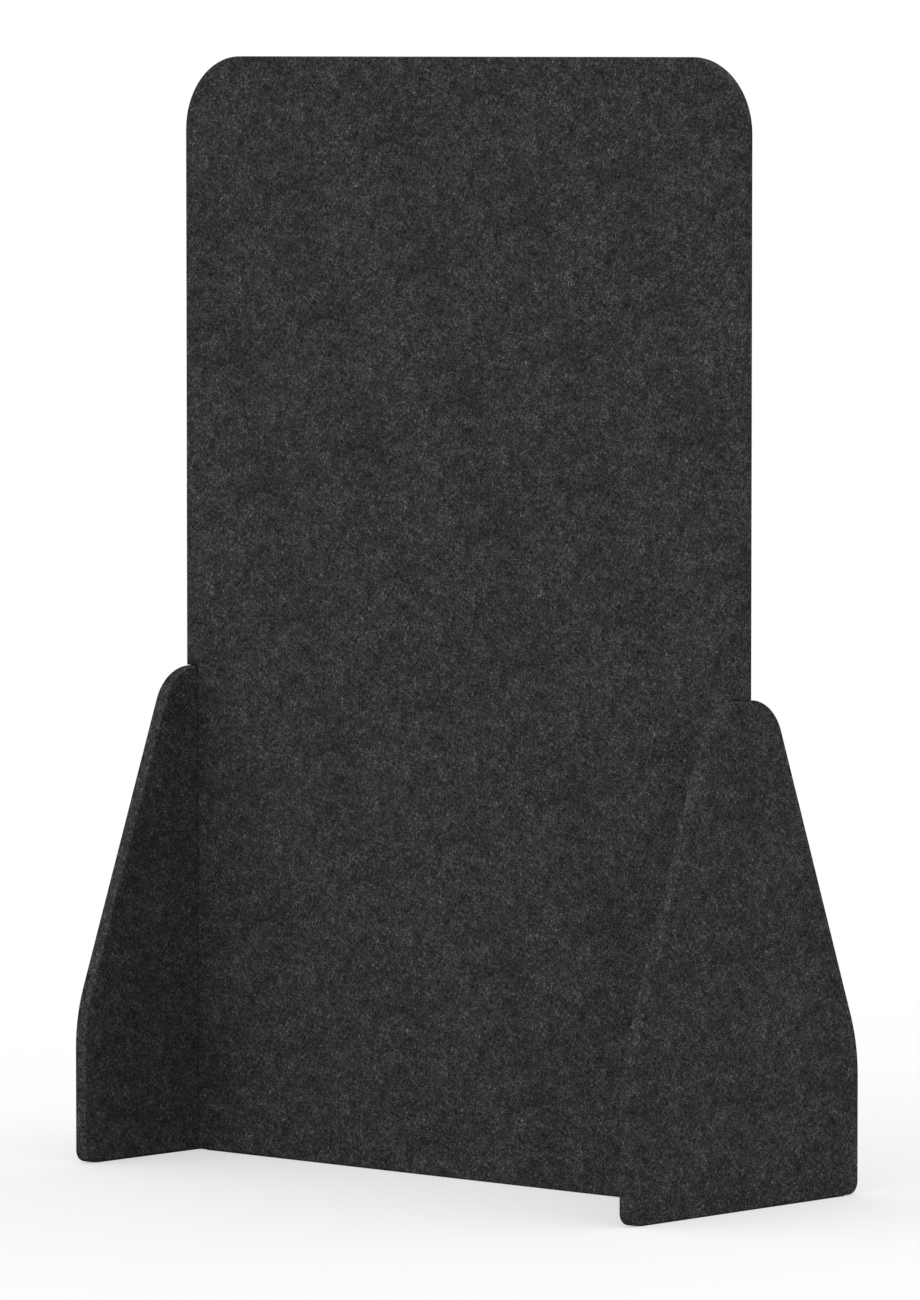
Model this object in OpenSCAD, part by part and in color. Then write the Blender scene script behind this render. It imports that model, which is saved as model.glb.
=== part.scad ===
// Free-standing acoustic divider screen, in millimetres.
// A cloth-covered screen panel stands on two cloth-covered wings, one under each end.
// X runs along the screen from left to right, Y from front to rear, and Z up from the floor.
// The origin is on the floor, under the middle of the screen.

/* [Screen panel] */
// Width of the screen panel, which is also the width over both wings
screen_w = 1200; // [900:10:1600]
// Height of the screen panel's top edge above the floor
screen_h = 1800; // [1600:10:2000]
// Radius of the screen panel's two top corners
screen_corner_r = 120; // [60:5:140]

/* [Wings] */
// Depth of a wing from front to rear
wing_d = 550; // [420:10:700]
// Height of a wing above the floor
wing_h = 800; // [620:10:1000]
// Height at which a wing's upright edges turn into its sloping edges
wing_knee_z = 240; // [160:10:320]
// Depth of a wing's top, measured to where its sloping edges would meet the top line
wing_top_d = 130; // [120:5:200]
// Radius of a wing's two top corners
wing_top_r = 80; // [40:5:90]
// Radius of the bend between a wing's upright and sloping edges
wing_knee_r = 280; // [100:10:300]
// Radius of a wing's two bottom corners
wing_foot_r = 20; // [15:1:35]

/* [Upholstery] */
// Thickness of the timber frame, the infill and the wings' cores
core_t = 18; // [16:1:25]
// Thickness of the foam on each face
foam_t = 2; // [1:0.5:4]
// Thickness of the wool cloth
cloth_t = 1; // [0.8:0.1:1.6]
// How far the foam stops short of the core's edge, so that the cloth rolls over a soft edge
foam_setback = 2; // [1:0.5:4]

/* [Timber frame] */
// Width of a stile where it has its full width, above the wings
stile_w = 90; // [80:5:120]
// Height of the top rail
top_rail_h = 150; // [145:5:200]
// Height of each of the other rails
rail_h = 90; // [70:5:110]
// Height of the upper rail's lower edge above the floor
upper_rail_z = 1200; // [1100:10:1300]
// Diameter of the dowels that join the frame
dowel_d = 8; // [6:1:10]
// Length of the dowels that join the frame
dowel_l = 60; // [40:5:80]

/* [Connectors] */
// How far the screen panel lifts on its studs before their heads line up with the wide holes
lift_travel = 14; // [11:1:18]
// Diameter of a connector stud's shank
stud_d = 6; // [5:0.5:7]
// Diameter of a connector stud's head and flange
stud_head_d = 12; // [10:0.5:13]
// Length of a connector stud's threaded part, inside the stile
stud_thread_l = 35; // [25:1:45]
// Length of a keyhole plate
keyhole_plate_l = 76; // [74:1:100]
// Width of a keyhole plate
keyhole_plate_w = 18; // [16:1:20]

/* [Levelling feet] */
// How far each levelling foot can be screwed out below the runner
level_travel = 10; // [5:1:15]
// Distance of a levelling foot's axis from the wing's front or rear edge
foot_inset = 45; // [40:1:80]
// Diameter of a levelling foot's pad
pad_d = 12; // [11:0.5:13]
// Height of a levelling foot's pad
pad_h = 5; // [5:0.5:8]
// Diameter of the levelling screw
level_screw_d = 8; // [6.5:0.5:8.5]
// Outside diameter of the threaded insert
insert_d = 12; // [10:0.5:13]
// Length of the threaded insert
insert_l = 20; // [15:1:30]

/* [Runners and strips] */
// Thickness of the runner under each wing
runner_t = 1.2; // [1.1:0.1:3]
// Width of the runner under each wing
runner_w = 18; // [16:1:20]
// Thickness of the closing strip under the screen panel
strip_t = 0.8; // [0.6:0.1:1]
// Width of the closing strip under the screen panel
strip_w = 16; // [14:1:20]

/* [Hidden] */
NODES = concat(
    [
        "screen_top_rail", "screen_left_stile", "screen_right_stile", "screen_upper_rail",
        "screen_middle_rail", "screen_bottom_rail", "screen_frame_dowels",
        "screen_upper_infill", "screen_middle_infill", "screen_lower_infill",
        "screen_front_foam", "screen_rear_foam", "screen_front_cover", "screen_rear_cover",
        "screen_staples", "screen_closing_strip", "screen_strip_screws",
        "screen_left_studs", "screen_right_studs"
    ],
    [
        "left_wing_core", "left_wing_inner_foam", "left_wing_outer_foam",
        "left_wing_inner_cover", "left_wing_outer_cover", "left_wing_staples",
        "left_upper_keyhole_plate", "left_middle_keyhole_plate", "left_lower_keyhole_plate",
        "left_keyhole_screws", "left_wing_runner", "left_runner_screws",
        "left_front_insert", "left_rear_insert",
        "left_front_glide_pad", "left_rear_glide_pad",
        "left_front_levelling_screw", "left_rear_levelling_screw"
    ],
    [
        "right_wing_core", "right_wing_inner_foam", "right_wing_outer_foam",
        "right_wing_inner_cover", "right_wing_outer_cover", "right_wing_staples",
        "right_upper_keyhole_plate", "right_middle_keyhole_plate", "right_lower_keyhole_plate",
        "right_keyhole_screws", "right_wing_runner", "right_runner_screws",
        "right_front_insert", "right_rear_insert",
        "right_front_glide_pad", "right_rear_glide_pad",
        "right_front_levelling_screw", "right_rear_levelling_screw"
    ]
);
node = "all";
$fn = 72;

// Clearances, and the overrun that every cut runs past its piece
slide_gap = 0.5;
bore_gap = 0.1;
thread_gap = 0.06;
seat_gap = 0.3;
overrun = 1;

// Build-up of an upholstered panel, from its outer face inwards
skin_t = foam_t + cloth_t;
panel_t = core_t + 2 * skin_t;

// Heights that the screen panel's pieces share
panel_base_z = runner_t;
core_base_z = panel_base_z + cloth_t;
shoulder_z = wing_h + slide_gap;
top_rail_z = screen_h - top_rail_h;
middle_rail_z = wing_h - rail_h / 2;

// Distances from the middle of the screen to the wings' faces and the frame's edges
wing_outer_x = screen_w / 2;
wing_inner_x = wing_outer_x - panel_t;
wing_mid_x = wing_outer_x - panel_t / 2;
wing_core_x = wing_inner_x + skin_t;
screen_side_x = wing_inner_x - slide_gap;
screen_core_x = screen_side_x - cloth_t;
stile_x = screen_w / 2 - cloth_t - stile_w;

// Frame joints
infill_gap = 0.5;
dowel_end_gap = 1;
dowel_shares = [0.25, 0.75];

// Connector studs and keyhole plates
stud_z_shares = [0.2, 0.5, 0.8];
stud_head_t = 2.5;
stud_head_gap = 0.4;
stud_socket_w = 4;
stud_socket_l = 3.5;
flange_gap = 0.2;
keyhole_gap = 0.75;
keyhole_d = stud_head_d + 2 * keyhole_gap;
keyhole_slot_w = stud_d + 2 * seat_gap;
keyhole_pocket_t = stud_head_t + 2 * stud_head_gap;
keyhole_screw_inset = 8;
keyhole_window_gap = 0.2;
stud_head_x = wing_core_x + stud_head_gap;

// Countersunk wood screws: head diameter, shank diameter, length, and width and depth of the cross recess
wood_screw = [7, 3.5, 15, 0.9, 1.2];
strip_screw = [5, 2.8, 12, 0.7, 0.9];
runner_screw_shares = [-0.7, -0.25, 0.25, 0.7];
strip_screw_shares = [-0.94, -0.6, -0.2, 0.2, 0.6, 0.94];

// Levelling feet
foot_y = wing_d / 2 - foot_inset;
runner_end = 20;
pad_gap = 0.5;
pad_sole_t = 1.5;
pad_cup_gap = 0.3;
key_hole_d = 5;
neck_d = 6.4;
neck_l = 1;
neck_z = 3;
lip_gap = 0.2;
level_socket_w = 4;
level_socket_l = 6;
insert_groove_t = 0.5;
insert_groove_l = 1;
insert_groove_shares = [0.25, 0.5, 0.75];
pocket_top_z = pad_h + pad_gap;
insert_top_z = pocket_top_z + insert_l;
level_screw_z = pad_sole_t + pad_cup_gap;
level_screw_top_z = insert_top_z + level_travel;

// Staples that hold the cloth's turned-under edges
staple_crown = 10;
staple_wire_w = 1.2;
staple_wire_t = 0.6;
staple_leg = 8;
staple_gap = 0.05;
staple_inset = 3;
screen_staple_row = strip_w / 2 - staple_inset;
wing_staple_row = runner_w / 2 - staple_inset;
staple_pitch = 80;
wing_staple_pitch = 50;
staple_end_gap = 15;

// Colours
cloth_colour = [0.22, 0.22, 0.225];
foam_colour = [0.75, 0.75, 0.72];
infill_colour = [0.86, 0.85, 0.80];
plywood_colour = [0.80, 0.68, 0.50];
beech_colour = [0.87, 0.73, 0.55];
steel_colour = [0.72, 0.73, 0.75];
nylon_colour = [0.08, 0.08, 0.08];

// Plain shapes

// A box between two opposite corners
module box(low, high) {
    translate(low) cube(high - low);
}

// A plate whose outline is drawn in X and Z, and which fills Y from y_low to y_high
module front_plate(y_low, y_high) {
    translate([0, y_high, 0]) rotate([90, 0, 0]) linear_extrude(y_high - y_low) children();
}

// A plate whose outline is drawn in Y and Z, and which fills X from x_low to x_high
module side_plate(x_low, x_high) {
    translate([x_low, 0, 0]) rotate([90, 0, 90]) linear_extrude(x_high - x_low) children();
}

// A round bar along X
module bar_x(x_low, x_high, d) {
    translate([x_low, 0, 0]) rotate([0, 90, 0]) cylinder(h = x_high - x_low, d = d);
}

// A round bar along Z
module bar_z(z_low, z_high, d) {
    translate([0, 0, z_low]) cylinder(h = z_high - z_low, d = d);
}

// A hexagonal bar along Z, w wide across its flats
module hex_z(z_low, z_high, w) {
    translate([0, 0, z_low]) cylinder(h = z_high - z_low, d = w / cos(30), $fn = 6);
}

// A flat shape with round ends, l long along its second axis and w wide
module obround(l, w) {
    for (end = [-1, 1])
        translate([0, end * (l - w) / 2]) circle(d = w);
    square([w, l - w], center = true);
}

// Draws what is given for the right side on the side that is named
module on_side(side) {
    if (side == "left") mirror([1, 0, 0]) children();
    else children();
}

// Rounded outlines

function unit(v) = v / norm(v);
function point(corner) = [corner[0], corner[1]];

// For one corner [x, y, r] between its neighbours: [arc's centre, first tangent point, second tangent point]
function corner_arc(before, corner, after) =
    let (
        to_before = unit(point(before) - point(corner)),
        to_after = unit(point(after) - point(corner)),
        half = acos(to_before * to_after) / 2,
        tangent = corner[2] / tan(half)
    )
    [
        point(corner) + unit(to_before + to_after) * corner[2] / sin(half),
        point(corner) + to_before * tangent,
        point(corner) + to_after * tangent
    ];

function corner_arcs(corners) = [
    for (i = [0 : len(corners) - 1])
        corner_arc(
            corners[(i + len(corners) - 1) % len(corners)],
            corners[i],
            corners[(i + 1) % len(corners)]
        )
];

// A convex outline whose corners [x, y, r] are rounded by true arcs
module rounded_outline(corners) {
    arcs = corner_arcs(corners);
    polygon([for (arc = arcs) each [arc[1], arc[2]]]);
    for (i = [0 : len(corners) - 1])
        intersection() {
            translate(arcs[i][0]) circle(r = corners[i][2]);
            polygon([arcs[i][0], arcs[i][1], point(corners[i]), arcs[i][2]]);
        }
}

// The screen panel's outline in X and Z, drawn in by inset: full width above the wings,
// narrower between them, and with two round corners at the top
module screen_outline(inset) {
    corner_x = screen_w / 2 - screen_corner_r;
    corner_z = screen_h - screen_corner_r;
    side_x = screen_side_x - inset;
    wide_x = screen_w / 2 - inset;
    translate([-side_x, panel_base_z + inset])
        square([2 * side_x, corner_z - panel_base_z - inset]);
    translate([-wide_x, shoulder_z + inset])
        square([2 * wide_x, corner_z - shoulder_z - inset]);
    translate([-corner_x, shoulder_z + inset])
        square([2 * corner_x, screen_h - shoulder_z - 2 * inset]);
    for (side = [-1, 1])
        translate([side * corner_x, corner_z]) circle(r = screen_corner_r - inset);
}

// A wing's outline in Y and Z, drawn in by inset: upright edges, then sloping edges up to a round top
wing_slope = atan2((wing_d - wing_top_d) / 2, wing_h - wing_knee_z);

function wing_top_y(inset) =
    wing_d / 2 - (inset + (wing_h - inset - wing_knee_z) * sin(wing_slope)) / cos(wing_slope);

function wing_corners(inset) =
    let (
        side_y = wing_d / 2 - inset,
        top_y = wing_top_y(inset),
        base_z = panel_base_z + inset,
        knee_z = wing_knee_z - inset * tan(wing_slope / 2),
        top_z = wing_h - inset
    )
    [
        [side_y, base_z, wing_foot_r - inset],
        [side_y, knee_z, wing_knee_r - inset],
        [top_y, top_z, wing_top_r - inset],
        [-top_y, top_z, wing_top_r - inset],
        [-side_y, knee_z, wing_knee_r - inset],
        [-side_y, base_z, wing_foot_r - inset]
    ];

module wing_outline(inset) {
    rounded_outline(wing_corners(inset));
}

// Fasteners

// A countersunk screw along Z with its head's face at Z 0; gap grows it into the hole it needs
module screw_body(sizes, gap) {
    head_d = sizes[0] + 2 * gap;
    shank_d = sizes[1] + 2 * gap;
    cylinder(h = (head_d - shank_d) / 2, d1 = head_d, d2 = shank_d);
    bar_z(0, sizes[2] + gap, shank_d);
}

module countersunk_screw(sizes) {
    recess = sizes[1];
    difference() {
        screw_body(sizes, 0);
        for (turn = [0, 90])
            rotate([0, 0, turn])
                box([-recess / 2, -sizes[3] / 2, -overrun], [recess / 2, sizes[3] / 2, sizes[4]]);
    }
}

module countersunk_hole(sizes) {
    screw_body(sizes, bore_gap);
    bar_z(-overrun, 0, sizes[0] + 2 * bore_gap);
}

// A staple with its crown along X and its legs up; gap grows it into the room it needs
module staple(gap) {
    half = staple_crown / 2 + gap;
    half_w = staple_wire_w / 2 + gap;
    low = gap > 0 ? -overrun : 0;
    box([-half, -half_w, low], [half, half_w, staple_wire_t + gap]);
    for (end = [-1, 1])
        translate([end * (half - staple_wire_t / 2 - gap), 0, 0])
            box([-staple_wire_t / 2 - gap, -half_w, 0], [staple_wire_t / 2 + gap, half_w, staple_leg + gap]);
}

// Where staples go along a row that reaches reach either way from the middle
function staple_places(reach, pitch) =
    let (steps = floor((reach - pitch / 2) / pitch))
    [for (i = [-steps - 1 : steps]) (i + 0.5) * pitch];

// Fastener patterns of the screen panel

screen_staple_xs = staple_places(screen_core_x - staple_end_gap, staple_pitch);
strip_half_l = screen_core_x - staple_end_gap;

module screen_staple_set(gap, rows) {
    for (row = rows, x = screen_staple_xs)
        translate([x, row * screen_staple_row, panel_base_z]) staple(gap);
}

module at_strip_screws() {
    for (share = strip_screw_shares)
        translate([share * strip_half_l, 0, panel_base_z - strip_t]) children();
}

function stud_zs() = [for (share = stud_z_shares) share * wing_h];

module at_studs() {
    for (z = stud_zs())
        translate([0, 0, z]) children();
}

// Holes through the cloth for the studs' flanges, on both sides
module flange_holes() {
    for (side = ["left", "right"])
        on_side(side) at_studs()
            bar_x(screen_core_x - overrun, screen_side_x + overrun, stud_head_d + 2 * flange_gap);
}

// Timber frame of the screen panel

module screen_timber() {
    front_plate(-core_t / 2, core_t / 2)
        intersection() {
            screen_outline(cloth_t);
            children();
        }
}

module rail_area(z_low) {
    translate([-stile_x, z_low]) square([2 * stile_x, rail_h]);
}

// Dowels between one rail that starts at z_low and both stiles; gap grows them into their bores
module rail_dowels(z_low, gap) {
    end_gap = gap > 0 ? dowel_end_gap : 0;
    for (side = [-1, 1], share = dowel_shares)
        translate([side * stile_x, 0, z_low + share * rail_h])
            bar_x(-dowel_l / 2 - end_gap, dowel_l / 2 + end_gap, dowel_d + 2 * gap);
}

// Dowels between the top rail and both stiles; gap grows them into their bores
module top_dowels(gap) {
    end_gap = gap > 0 ? dowel_end_gap : 0;
    for (side = [-1, 1], share = dowel_shares)
        translate([side * (stile_x + share * stile_w), 0, top_rail_z])
            bar_z(-dowel_l / 2 - end_gap, dowel_l / 2 + end_gap, dowel_d + 2 * gap);
}

module frame_dowels(gap) {
    for (z = [core_base_z, middle_rail_z, upper_rail_z])
        rail_dowels(z, gap);
    top_dowels(gap);
}

// Bores that the stiles and the bottom rail need for staples and strip screws
module underside_bores() {
    screen_staple_set(staple_gap, [-1, 1]);
    at_strip_screws() countersunk_hole(strip_screw);
}

module screen_top_rail() {
    color(plywood_colour)
        difference() {
            screen_timber()
                translate([-screen_w / 2, top_rail_z]) square([screen_w, top_rail_h]);
            top_dowels(bore_gap);
        }
}

module screen_stile(side) {
    color(plywood_colour)
        on_side(side)
            difference() {
                screen_timber()
                    translate([stile_x, 0]) square([screen_w / 2 - stile_x, top_rail_z]);
                frame_dowels(bore_gap);
                underside_bores();
                at_studs()
                    bar_x(
                        screen_core_x - stud_thread_l - dowel_end_gap,
                        screen_core_x + overrun,
                        stud_d + 2 * bore_gap
                    );
            }
}

module screen_rail(z_low) {
    color(plywood_colour)
        difference() {
            screen_timber() rail_area(z_low);
            rail_dowels(z_low, bore_gap);
            underside_bores();
        }
}

module screen_frame_dowels() {
    color(beech_colour) frame_dowels(0);
}

// Infill between two rails
module screen_infill(z_low, z_high) {
    half_x = stile_x - infill_gap;
    color(infill_colour)
        box(
            [-half_x, -core_t / 2, z_low + infill_gap],
            [half_x, core_t / 2, z_high - infill_gap]
        );
}

// Upholstery of the screen panel; face is -1 for the front and 1 for the rear

module screen_foam(face) {
    inner_y = face * core_t / 2;
    outer_y = face * (core_t / 2 + foam_t);
    color(foam_colour)
        front_plate(min(inner_y, outer_y), max(inner_y, outer_y))
            screen_outline(cloth_t + foam_setback);
}

module screen_half_cover() {
    difference() {
        front_plate(-panel_t / 2, 0) screen_outline(0);
        front_plate(-panel_t / 2 + cloth_t, overrun) screen_outline(cloth_t);
        flange_holes();
        screen_staple_set(staple_gap, [-1]);
        at_strip_screws() countersunk_hole(strip_screw);
    }
}

module screen_cover(face) {
    color(cloth_colour)
        if (face < 0) screen_half_cover();
        else mirror([0, 1, 0]) screen_half_cover();
}

module screen_staples() {
    color(steel_colour) screen_staple_set(0, [-1, 1]);
}

module screen_closing_strip() {
    color(nylon_colour)
        difference() {
            box(
                [-strip_half_l, -strip_w / 2, panel_base_z - strip_t],
                [strip_half_l, strip_w / 2, panel_base_z]
            );
            at_strip_screws() countersunk_hole(strip_screw);
        }
}

module screen_strip_screws() {
    color(steel_colour) at_strip_screws() countersunk_screw(strip_screw);
}

// Connector studs: a threaded part in the stile, a flange on its edge, a shank and a head
module screen_studs(side) {
    color(steel_colour)
        on_side(side) at_studs()
            difference() {
                union() {
                    bar_x(screen_core_x - stud_thread_l, stud_head_x, stud_d);
                    bar_x(screen_core_x, screen_side_x, stud_head_d);
                    bar_x(stud_head_x, stud_head_x + stud_head_t, stud_head_d);
                }
                translate([stud_head_x + stud_head_t, 0, 0])
                    rotate([0, 90, 0])
                        hex_z(-stud_socket_l, overrun, stud_socket_w);
            }
}

// Fastener patterns of a wing

wing_staple_ys = staple_places(foot_y - pad_d - staple_end_gap, wing_staple_pitch);

// rows holds -1 for the row on the wing's inner side and 1 for the row on its outer side
module wing_staple_set(gap, rows) {
    for (row = rows, y = wing_staple_ys)
        translate([wing_mid_x + row * wing_staple_row, y, panel_base_z])
            rotate([0, 0, 90]) staple(gap);
}

module at_runner_screws() {
    for (share = runner_screw_shares)
        translate([wing_mid_x, share * foot_y, 0]) children();
}

module at_feet() {
    for (end = [-1, 1])
        translate([wing_mid_x, end * foot_y, 0]) children();
}

// The room that a levelling foot needs in the runner, the cloth and the core
module foot_pockets() {
    at_feet() {
        bar_z(-overrun, pocket_top_z, pad_d + 2 * pad_gap);
        bar_z(-overrun, insert_top_z, insert_d + 2 * bore_gap);
        bar_z(-overrun, level_screw_top_z + overrun, level_screw_d + 2 * pad_gap);
    }
}

// Middle of the keyhole plate whose stud is at height z
function plate_z(z) = z + lift_travel / 2;

// Places a keyhole screw at each end of the plate for the stud at height z, with its head on the wing's face
module at_keyhole_screws(z) {
    reach = keyhole_plate_l / 2 - keyhole_screw_inset;
    for (end = [-1, 1])
        translate([wing_inner_x, 0, plate_z(z) + end * reach])
            rotate([0, 90, 0]) children();
}

// The plate's outline in Y and Z, grown by gap
module keyhole_plate_outline(z, gap) {
    translate([0, plate_z(z)]) obround(keyhole_plate_l + 2 * gap, keyhole_plate_w + 2 * gap);
}

// Windows in the cloth and foam that the keyhole plates fill
module keyhole_windows() {
    for (z = stud_zs())
        side_plate(wing_inner_x - overrun, wing_core_x + overrun)
            keyhole_plate_outline(z, keyhole_window_gap);
}

// Panel core of a wing, with its pockets and bores
module wing_core(side) {
    color(plywood_colour)
        on_side(side)
            difference() {
                side_plate(wing_core_x, wing_core_x + core_t) wing_outline(cloth_t);
                foot_pockets();
                wing_staple_set(staple_gap, [-1, 1]);
                at_runner_screws() countersunk_hole(wood_screw);
                for (z = stud_zs()) {
                    side_plate(wing_core_x - overrun, wing_core_x + keyhole_pocket_t)
                        translate([0, plate_z(z)]) obround(lift_travel + keyhole_d, keyhole_d);
                    at_keyhole_screws(z) countersunk_hole(wood_screw);
                }
            }
}

module wing_inner_foam(side) {
    color(foam_colour)
        on_side(side)
            difference() {
                side_plate(wing_inner_x + cloth_t, wing_core_x) wing_outline(cloth_t + foam_setback);
                keyhole_windows();
            }
}

module wing_outer_foam(side) {
    color(foam_colour)
        on_side(side)
            side_plate(wing_outer_x - skin_t, wing_outer_x - cloth_t) wing_outline(cloth_t + foam_setback);
}

// What is cut out of both covers' turned-under edges
module wing_underside_cuts(row) {
    foot_pockets();
    wing_staple_set(staple_gap, [row]);
    at_runner_screws() countersunk_hole(wood_screw);
}

module wing_inner_cover(side) {
    color(cloth_colour)
        on_side(side)
            difference() {
                side_plate(wing_inner_x, wing_mid_x) wing_outline(0);
                side_plate(wing_inner_x + cloth_t, wing_mid_x + overrun) wing_outline(cloth_t);
                keyhole_windows();
                wing_underside_cuts(-1);
            }
}

module wing_outer_cover(side) {
    color(cloth_colour)
        on_side(side)
            difference() {
                side_plate(wing_mid_x, wing_outer_x) wing_outline(0);
                side_plate(wing_mid_x - overrun, wing_outer_x - cloth_t) wing_outline(cloth_t);
                wing_underside_cuts(1);
            }
}

module wing_staples(side) {
    color(steel_colour) on_side(side) wing_staple_set(0, [-1, 1]);
}

// Keyhole plates and their screws

module keyhole_plate(side, z) {
    color(steel_colour)
        on_side(side)
            difference() {
                side_plate(wing_inner_x, wing_core_x)
                    difference() {
                        keyhole_plate_outline(z, 0);
                        translate([0, z + lift_travel]) circle(d = keyhole_d);
                        translate([0, z]) circle(d = keyhole_slot_w);
                        translate([-keyhole_slot_w / 2, z]) square([keyhole_slot_w, lift_travel]);
                    }
                at_keyhole_screws(z) countersunk_hole(wood_screw);
            }
}

module keyhole_screws(side) {
    color(steel_colour)
        on_side(side)
            for (z = stud_zs())
                at_keyhole_screws(z) countersunk_screw(wood_screw);
}

// Runner under a wing, and its screws

module wing_runner(side) {
    color(nylon_colour)
        on_side(side)
            difference() {
                translate([wing_mid_x, 0, 0])
                    linear_extrude(runner_t) obround(2 * (foot_y + runner_end), runner_w);
                foot_pockets();
                at_runner_screws() countersunk_hole(wood_screw);
            }
}

module runner_screws(side) {
    color(steel_colour) on_side(side) at_runner_screws() countersunk_screw(wood_screw);
}

// Levelling feet; end is -1 for the front foot and 1 for the rear foot

module at_foot(side, end) {
    on_side(side) translate([wing_mid_x, end * foot_y, 0]) children();
}

module threaded_insert(side, end) {
    color(steel_colour)
        at_foot(side, end)
            difference() {
                bar_z(pocket_top_z, insert_top_z, insert_d);
                bar_z(pocket_top_z - overrun, insert_top_z + overrun, level_screw_d + 2 * thread_gap);
                for (share = insert_groove_shares)
                    translate([0, 0, pocket_top_z + share * insert_l])
                        difference() {
                            bar_z(-insert_groove_l / 2, insert_groove_l / 2, insert_d + overrun);
                            bar_z(-insert_groove_l, insert_groove_l, insert_d - 2 * insert_groove_t);
                        }
            }
}

module levelling_screw(side, end) {
    color(steel_colour)
        at_foot(side, end)
            difference() {
                bar_z(level_screw_z, level_screw_top_z, level_screw_d);
                difference() {
                    bar_z(neck_z, neck_z + neck_l, level_screw_d + overrun);
                    bar_z(neck_z - overrun, neck_z + neck_l + overrun, neck_d);
                }
                hex_z(level_screw_z - overrun, level_screw_z + level_socket_l, level_socket_w);
            }
}

// The pad is a cup whose inner lip snaps into the screw's neck
module glide_pad(side, end) {
    cup_d = level_screw_d + 2 * pad_cup_gap;
    color(nylon_colour)
        at_foot(side, end)
            difference() {
                bar_z(0, pad_h, pad_d);
                bar_z(-overrun, pad_h + overrun, key_hole_d);
                difference() {
                    bar_z(pad_sole_t, pad_h + overrun, cup_d);
                    difference() {
                        bar_z(neck_z + lip_gap, neck_z + neck_l - lip_gap, cup_d + overrun);
                        bar_z(neck_z, neck_z + neck_l, neck_d + 2 * lip_gap);
                    }
                }
            }
}

// Drawing one node at a time

function shows(name) = node == "all" || node == name;

if (shows("screen_top_rail")) screen_top_rail();
if (shows("screen_left_stile")) screen_stile("left");
if (shows("screen_right_stile")) screen_stile("right");
if (shows("screen_upper_rail")) screen_rail(upper_rail_z);
if (shows("screen_middle_rail")) screen_rail(middle_rail_z);
if (shows("screen_bottom_rail")) screen_rail(core_base_z);
if (shows("screen_frame_dowels")) screen_frame_dowels();
if (shows("screen_upper_infill")) screen_infill(upper_rail_z + rail_h, top_rail_z);
if (shows("screen_middle_infill")) screen_infill(middle_rail_z + rail_h, upper_rail_z);
if (shows("screen_lower_infill")) screen_infill(core_base_z + rail_h, middle_rail_z);
if (shows("screen_front_foam")) screen_foam(-1);
if (shows("screen_rear_foam")) screen_foam(1);
if (shows("screen_front_cover")) screen_cover(-1);
if (shows("screen_rear_cover")) screen_cover(1);
if (shows("screen_staples")) screen_staples();
if (shows("screen_closing_strip")) screen_closing_strip();
if (shows("screen_strip_screws")) screen_strip_screws();
if (shows("screen_left_studs")) screen_studs("left");
if (shows("screen_right_studs")) screen_studs("right");

if (shows("left_wing_core")) wing_core("left");
if (shows("left_wing_inner_foam")) wing_inner_foam("left");
if (shows("left_wing_outer_foam")) wing_outer_foam("left");
if (shows("left_wing_inner_cover")) wing_inner_cover("left");
if (shows("left_wing_outer_cover")) wing_outer_cover("left");
if (shows("left_wing_staples")) wing_staples("left");
if (shows("left_upper_keyhole_plate")) keyhole_plate("left", stud_zs()[2]);
if (shows("left_middle_keyhole_plate")) keyhole_plate("left", stud_zs()[1]);
if (shows("left_lower_keyhole_plate")) keyhole_plate("left", stud_zs()[0]);
if (shows("left_keyhole_screws")) keyhole_screws("left");
if (shows("left_wing_runner")) wing_runner("left");
if (shows("left_runner_screws")) runner_screws("left");
if (shows("left_front_insert")) threaded_insert("left", -1);
if (shows("left_rear_insert")) threaded_insert("left", 1);
if (shows("left_front_glide_pad")) glide_pad("left", -1);
if (shows("left_rear_glide_pad")) glide_pad("left", 1);
if (shows("left_front_levelling_screw")) levelling_screw("left", -1);
if (shows("left_rear_levelling_screw")) levelling_screw("left", 1);

if (shows("right_wing_core")) wing_core("right");
if (shows("right_wing_inner_foam")) wing_inner_foam("right");
if (shows("right_wing_outer_foam")) wing_outer_foam("right");
if (shows("right_wing_inner_cover")) wing_inner_cover("right");
if (shows("right_wing_outer_cover")) wing_outer_cover("right");
if (shows("right_wing_staples")) wing_staples("right");
if (shows("right_upper_keyhole_plate")) keyhole_plate("right", stud_zs()[2]);
if (shows("right_middle_keyhole_plate")) keyhole_plate("right", stud_zs()[1]);
if (shows("right_lower_keyhole_plate")) keyhole_plate("right", stud_zs()[0]);
if (shows("right_keyhole_screws")) keyhole_screws("right");
if (shows("right_wing_runner")) wing_runner("right");
if (shows("right_runner_screws")) runner_screws("right");
if (shows("right_front_insert")) threaded_insert("right", -1);
if (shows("right_rear_insert")) threaded_insert("right", 1);
if (shows("right_front_glide_pad")) glide_pad("right", -1);
if (shows("right_rear_glide_pad")) glide_pad("right", 1);
if (shows("right_front_levelling_screw")) levelling_screw("right", -1);
if (shows("right_rear_levelling_screw")) levelling_screw("right", 1);
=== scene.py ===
import math
import bmesh
import bpy
from mathutils import Matrix, Vector


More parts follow.
